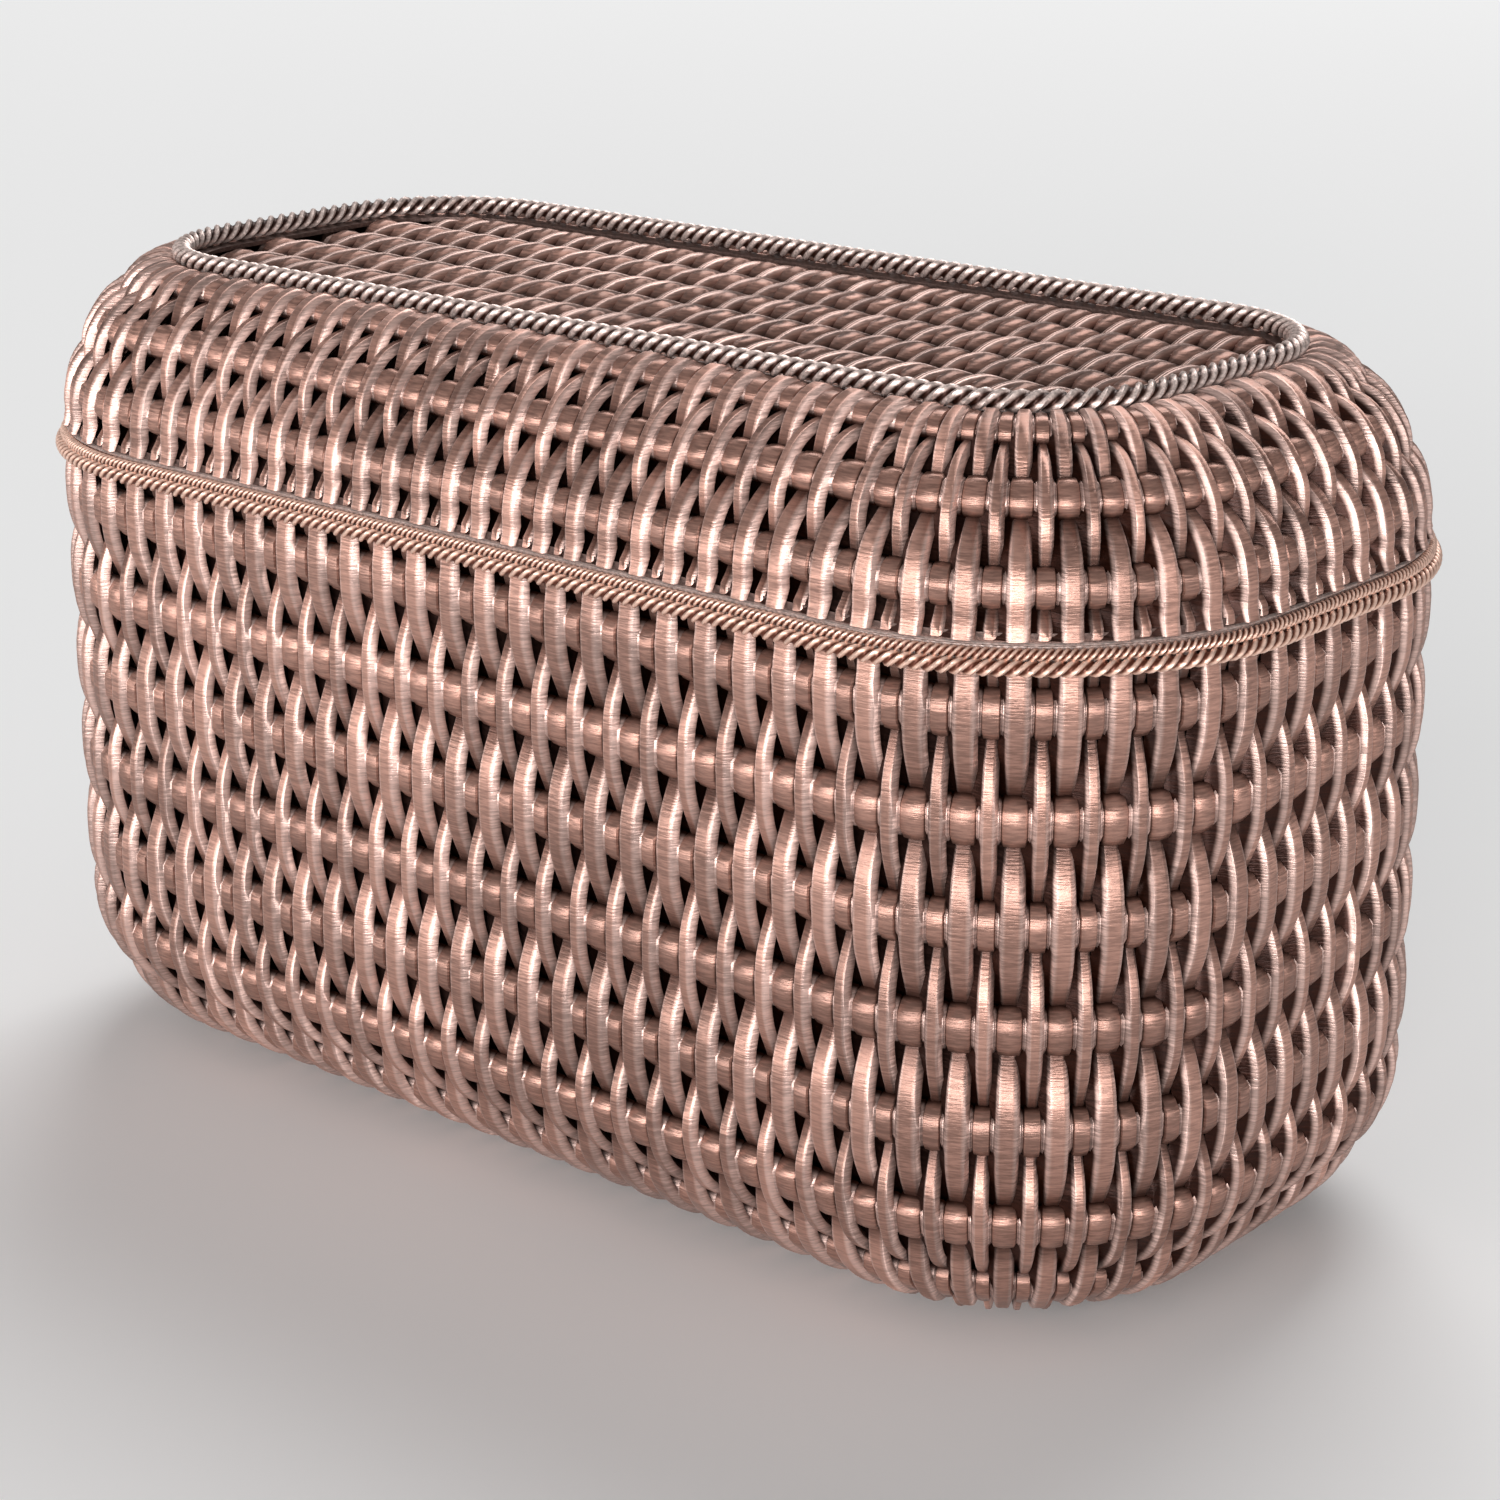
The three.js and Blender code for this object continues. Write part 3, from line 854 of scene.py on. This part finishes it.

# Plain bands that the strands end in, as sections of (reach, height), from the inner top corner outwards
# Each band's painted highlight and painted shade are even along it: the lip and the crown band get painted
# shade.
bands = {
    "rim_ledge": {
        "body": "basket",
        "finish": ringFinish,
        "highlightAmount": 1,
        "shade": 0,
        "section": [(-3.1, ledgeTop), (-0.8, ledgeTop), (-0.7, ledgeTop - 0.12), (-0.8, ledgeTop - 0.25),
                    (-1.9, ledgeTop - 0.6), (-1.9, ledgeTop - 3.9), (-3.1, ledgeTop - 3.9)],
    },
    "lid_lip": {
        "body": "lid",
        "finish": ringFinish,
        "highlightAmount": 0,
        "shade": 0.6,
        "section": [(-4.8, ledgeTop + 1.3), (-1.5, ledgeTop + 1.3), (-1.5, ledgeTop + lid["footGap"]),
                    (-3.6, ledgeTop + lid["footGap"]), (-3.6, lipFoot), (-4.8, lipFoot)],
    },
    "crown_band": {
        "body": "lid",
        "finish": ringFinish,
        "highlightAmount": 0,
        "shade": 0.6,
        "section": [(-24.1, ringLow.z - 0.4), (-22, ringLow.z - 0.1), (-22, ringLow.z - 1.1),
                    (-24.1, ringLow.z - 1.1)],
    },
}


def makeBand(name, band):
    section = band["section"]
    loop = loopRuler(-sum(reach for reach, _ in section) / len(section))
    length = float(loop["total"])

    def shape(side, share):
        reach, height = section[side]
        return share * length, height, reach, band["shade"], band["highlightAmount"]

    bm = makeBar(len(section), round(length / bandRing) - 1, shape, capped=False)
    setTones(bm, plainTone)
    wrapOnPlan(bm, loop)
    addPiece(name, bm, band["body"], band["finish"])


bandRing = 2  # as ropeRing

for name, band in bands.items():
    makeBand(name, band)
print("bands fitted")

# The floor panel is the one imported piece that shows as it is
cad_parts["floor_panel"].material_slots[0].material = ropeFinish

# The studio, in metres again: soft lamps by direction in degrees, distance, size and watts
lamps = {
    "leftBox": {"azimuth": -10, "elevation": 8, "distance": 6, "size": (4, 1.6), "watts": 170},
    "rightBox": {"azimuth": 36, "elevation": 8, "distance": 6, "size": (3.2, 1.6), "watts": 330},
    "backBox": {"azimuth": 205, "elevation": 50, "distance": 6, "size": (3.5, 3.5), "watts": 190},
}
# The floor is pale to the eye and to gloss, and greyer in the light that it throws back on the object.
floorLook = {"size": 12, "colour": (0.95, 0.95, 0.95), "bounce": (0.3, 0.3, 0.3)}
lampTarget = (0, 0, 0.07)
surround = 0.25  # how strong the light from all round is


def makeLamp(name, lamp):
    light = bpy.data.lights.new(name, "AREA")
    light.shape = "RECTANGLE"
    light.size, light.size_y = lamp["size"]
    light.energy = lamp["watts"]
    back = direction(lamp["azimuth"], lamp["elevation"])
    aim(bpy.data.objects.new(name, light), back, lamp["distance"], lampTarget)


def makeFloor():
    bm = bmesh.new()
    bmesh.ops.create_grid(bm, x_segments=1, y_segments=1, size=floorLook["size"] / 2)
    mesh = meshOf(bm, "floor")
    material = bpy.data.materials.new("paleFloor")
    material.use_nodes = True
    tree = material.node_tree
    rays = addNode(tree, "LightPath", {}).outputs
    seen = rays["Is Camera Ray"]
    for ray in ("Is Glossy Ray", "Is Transmission Ray"):
        seen = addNode(tree, "Math", {0: seen, 1: rays[ray]}, operation="ADD", use_clamp=True).outputs[0]
    colour = blendColours(tree, seen, (*floorLook["bounce"], 1), (*floorLook["colour"], 1))
    surface = {"Base Color": colour, "Roughness": 1, "Specular IOR Level": 0}
    feedSockets(tree, tree.nodes["Principled BSDF"], surface)
    mesh.materials.append(material)
    floor = bpy.data.objects.new("floor", mesh)
    bpy.context.scene.collection.objects.link(floor)


def makeWorld():
    world = bpy.data.worlds.new("studio")
    world.use_nodes = True
    background = world.node_tree.nodes["Background"]
    background.inputs["Color"].default_value = (1, 1, 1, 1)
    background.inputs["Strength"].default_value = surround
    bpy.context.scene.world = world


for name, lamp in lamps.items():
    makeLamp(name, lamp)
makeFloor()
makeWorld()
bpy.context.scene.view_settings.view_transform = "Standard"
print("studio lit")
